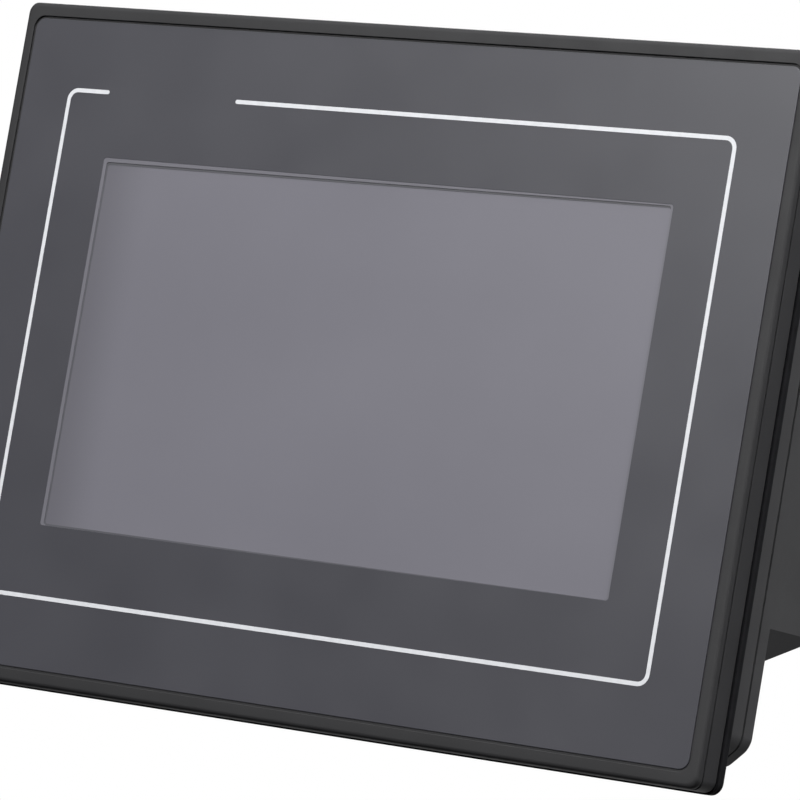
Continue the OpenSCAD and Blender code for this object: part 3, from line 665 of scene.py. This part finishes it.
def make_window():
    """Touch sheet behind the film, and in the window the film's clear edge and a dark strip of painted
    shadow inside it.

    The strips are drawn as if the sheet sat a touch askew: they narrow towards the lower right, and the
    painted shadow is widest along the top and left.
    """
    low, high = node_box("touch_glass")
    width, height = high.x - low.x, high.z - low.z
    cut, corner_r = 0.15, 0.5
    section = ((cut, low.y), (0, low.y + cut), (0, high.y - cut), (cut, high.y))
    loops = [rounded_loop(width - 2 * e, height - 2 * e, corner_r, y) for e, y in section]
    sheet = sweep("touch_sheet", loops, False)
    new_piece("touch_sheet", sheet, "panel", "touch_surface", ["touch_glass"])
    film_cut = [(0.02, 0.02)] * 4
    clear_end = [(0.5, 0.35), (1.0, 1.0), (1.0, 0.05), (0.5, 0.05)]
    # Inner end of the dark strip of painted shadow, widest along the top and left.
    painted_shadow_end = [(0.55, 0.8), (1.4, 1.6), (1.35, 0.45), (0.55, 0.1)]
    strips = {"window_border": (film_cut, clear_end, 0.2, "clear_edge"),
              "window_painted_shadow": (clear_end, painted_shadow_end, 0.05, "painted_edge_shadow")}
    for name, (outside, inside, thickness, material) in strips.items():
        front = FILM_BACK - thickness
        section = ((outside, FILM_BACK), (outside, front), (inside, front), (inside, FILM_BACK))
        mesh = sweep(name, [window_loop(insets, WINDOW_R, y) for insets, y in section], True)
        new_piece(name, mesh, "panel", "touch_surface", material=material)


def make_gasket():
    """Soft rubber ring behind the bezel, with a rounded rear edge and a shallow waist."""
    corner_r = BEZEL_R + 0.4
    waist = 0.5
    waist_y = GASKET_BACK * 0.45
    waisted = (GASKET[0] - waist, GASKET[1] - waist)
    hole_at = (0.0, BODY_Z)
    profile = [
        (*GASKET, corner_r, 0, *MIDDLE, 0.3),
        (*waisted, BEZEL_R + 0.2, waist_y, *MIDDLE, 0.4),
        (*GASKET, corner_r, GASKET_BACK, *MIDDLE, 1.0),
        (*GASKET_HOLE, GASKET_HOLE_R, GASKET_BACK, *hole_at, 0.6),
        (*GASKET_HOLE, GASKET_HOLE_R, 0, *hole_at, 0),
    ]
    mesh = ring("gasket_ring", profile)
    new_piece("gasket_ring", mesh, "panel", "seal_rubber", ["panel_gasket"])


# ---- pieces eased from the CAD nodes ----

# How far each node's edges are rounded.
EASED = {
    "front_housing": 0.35, "rear_cover": 0.30, "battery_door": 0.25, "system_button": 0.30,
    "rating_label": 0.03, "rear_cover_screws": 0.15, "jack_screws": 0.25, "ethernet_port": 0.15,
    "usb_host_port": 0.12, "usb_device_port": 0.10, "com1_port": 0.15, "com2_port": 0.15,
    "power_terminal": 0.18, "terminal_contacts": 0.08, "chassis_plate": 0.15, "lcd_frame": 0.08,
    "lcd_cell": 0.15, "backlight_unit": 0.25, "display_gasket": 0.10, "touch_tail": 0.04,
    "lcd_flex": 0.04, "backlight_lead": 0.08, "chassis_screws": 0.15, "main_board": 0.12,
    "board_standoffs": 0.20, "board_screws": 0.15, "processor": 0.12, "heat_sink": 0.15,
    "memory_chips": 0.12, "power_coil": 0.50, "capacitors": 0.60, "buzzer": 0.30,
    "board_sockets": 0.15, "battery_holder": 0.20, "coin_cell": 0.25, "battery_contacts": 0.08,
    "system_switch": 0.15, "switch_plunger": 0.25,
}
TERMINAL_EASE = 0.12
EASE_SEGMENTS = 2

# How far the four cut corners of these two are rounded, before their other edges.
ROUND_CORNERS = {"front_housing": 2.0, "rear_cover": 2.0}
CORNER_REACH = 6.0
CORNER_ANGLE = 20
CORNER_SEGMENTS = 5
ALONG_Y = 0.99  # least cosine of an edge's angle to Y

# Edges that turn by more than this many degrees are rounded, and long ones from a smaller turn.
BEVEL_ANGLE = 35
LONG_EDGE = 12.0
LONG_EDGE_ANGLE = 18

FLAT_ANGLE = 1  # degrees; faces that turn by less become one
EASED_SHARP = 32  # degrees
CAD_MERGE = 1e-6  # metres


def outer_corner_edges(work, low, high):
    """Edges along Y at the four cut corners of the body."""
    found = []
    for edge in work.edges:
        a, b = (v.co for v in edge.verts)
        way = b - a
        if abs(way.y) < ALONG_Y * way.length or len(edge.link_faces) != 2:
            continue
        near_x = min(abs(a.x - low.x * MM), abs(a.x - high.x * MM)) < CORNER_REACH * MM
        near_z = min(abs(a.z - low.z * MM), abs(a.z - high.z * MM)) < CORNER_REACH * MM
        if near_x and near_z and edge.calc_face_angle_signed() > math.radians(CORNER_ANGLE):
            found.append(edge)
    return found


def is_sharp(edge):
    """Whether an edge turns by enough to be rounded. A long one needs less of a turn."""
    angle = math.degrees(edge.calc_face_angle())
    return angle > BEVEL_ANGLE or (angle > LONG_EDGE_ANGLE and edge.calc_length() > LONG_EDGE * MM)


def eased_mesh(node, width):
    """The CAD node's shape as a new mesh, with its sharp edges rounded by a real radius."""
    work = bmesh.new()
    work.from_mesh(frame["nodes"][node].data)
    bmesh.ops.remove_doubles(work, verts=work.verts, dist=CAD_MERGE)
    bmesh.ops.dissolve_limit(work, angle_limit=math.radians(FLAT_ANGLE), verts=work.verts,
                             edges=work.edges)
    if node in ROUND_CORNERS:
        corners = outer_corner_edges(work, *node_box(node))
        bmesh.ops.bevel(work, geom=corners, offset=ROUND_CORNERS[node] * MM, segments=CORNER_SEGMENTS,
                        profile=0.5, affect="EDGES")
    sharp = [e for e in work.edges if len(e.link_faces) == 2 and is_sharp(e)]
    bmesh.ops.bevel(work, geom=sharp, offset=width * MM, segments=EASE_SEGMENTS, profile=0.5,
                    affect="EDGES", clamp_overlap=True)
    mesh = bpy.data.meshes.new(node + "_eased")
    work.to_mesh(mesh)
    work.free()
    smooth(mesh, EASED_SHARP)
    return mesh


def make_eased():
    """One eased piece for each node that has no finer mesh above, on the body the node belongs to."""
    slots = {part["node"]: part["material_slot"] for part in frame["record"]["subparts"]}
    widths = dict(EASED)
    bodies = {"battery_door": "battery_door", "system_button": "system_button",
              "switch_plunger": "system_button"}
    for number in range(1, POLES + 1):
        for kind in ("screw", "clamp"):
            widths[f"terminal_{kind}_{number}"] = TERMINAL_EASE
            bodies[f"terminal_{kind}_{number}"] = f"{kind}_{number}"
    for node, width in widths.items():
        body = bodies.get(node, "panel")
        material = "cover_plastic" if node in ROUND_CORNERS else None
        new_piece(node + "_eased", eased_mesh(node, width), body, slots[node], [node], material)


# ---- small details ----


def make_label_print():
    """Blank ruled boxes on the rating plate, with no text."""
    margin, line, ink_y = 2, 0.35, 0.02
    rows, columns = (-1, -0.33, 0.33, 1), (-1, 0.3, 1)
    low, high = node_box("rating_label")
    centre = ((low.x + high.x) / 2, (low.z + high.z) / 2)
    half_x = (high.x - low.x) / 2 - margin
    half_z = (high.z - low.z) / 2 - margin
    y0, y1 = high.y - ink_y, high.y + ink_y
    runs = [[(-half_x, s * half_z), (half_x, s * half_z)] for s in rows]
    runs += [[(s * half_x, -half_z), (s * half_x, half_z)] for s in columns]
    for number, run in enumerate(runs, 1):
        path = [(centre[0] + x, centre[1] + z) for x, z in run]
        name = f"label_rule_{number}"
        new_piece(name, stroke(name, path, line, y0, y1), "panel", "port_insulator")


def d_outline(wide, narrow, height, radius):
    """Outline of a D connector as (x, y) points, wide side at +Y."""
    points = []
    for turn, (sx, sy) in enumerate(CORNERS):
        width = wide if sy > 0 else narrow
        corner = (sx * (width / 2 - radius), sy * (height / 2 - radius))
        points += arc(corner, radius, turn, D_STEPS)
    return points


def make_com_faces():
    """Dark face of each D socket, with a contact ring round each of its nine holes."""
    rim = 0.55
    sunk, face_t, ring_t = 0.02, 0.12, 0.20
    hole_r, ring_r = 0.5, 0.85
    for number in (1, 2):
        low, high = node_box(f"com{number}_port")
        x0 = (low.x + high.x) / 2
        y0 = high.y - D_PLATE / 2
        z = low.z
        outline = d_outline(*(size - 2 * rim for size in D_MOUTH), D_MOUTH_R)
        loops = [[(x0 + x, y0 + y, z - h) for x, y in outline] for h in (-sunk, face_t)]
        name = f"com{number}_face"
        new_piece(name, sweep(name, loops, False), "panel", "port_insulator")
        pins = [((i - 2) * PIN_PITCH, PIN_ROW) for i in range(5)]
        pins += [((i - 1.5) * PIN_PITCH, -PIN_ROW) for i in range(4)]
        for pin, (px, py) in enumerate(pins, 1):
            name = f"com{number}_socket_{pin}"
            tube = tube_z(name, (x0 + px, y0 + py), hole_r, ring_r, z - ring_t, z)
            new_piece(name, tube, "panel", "brass_parts")


def circle_z(centre, radius, z):
    """Points round a circle at height z."""
    angles = [2 * math.pi * k / CIRCLE_STEPS for k in range(CIRCLE_STEPS)]
    return [(centre[0] + radius * math.cos(a), centre[1] + radius * math.sin(a), z) for a in angles]


def tube_z(name, centre, inner, outer, z0, z1):
    """Short tube along Z with both ends open."""
    section = ((outer, z0), (outer, z1), (inner, z1), (inner, z0))
    return sweep(name, [circle_z(centre, r, z) for r, z in section], True)


def main():
    bpy.context.scene.view_settings.view_transform = "Standard"
    MATERIALS.update(make_materials())
    make_camera()
    make_world()
    for light in LIGHTS:
        area_light(*light)
    make_floor()
    make_bezel()
    make_film()
    make_outline()
    make_window()
    make_gasket()
    make_eased()
    make_label_print()
    make_com_faces()


main()
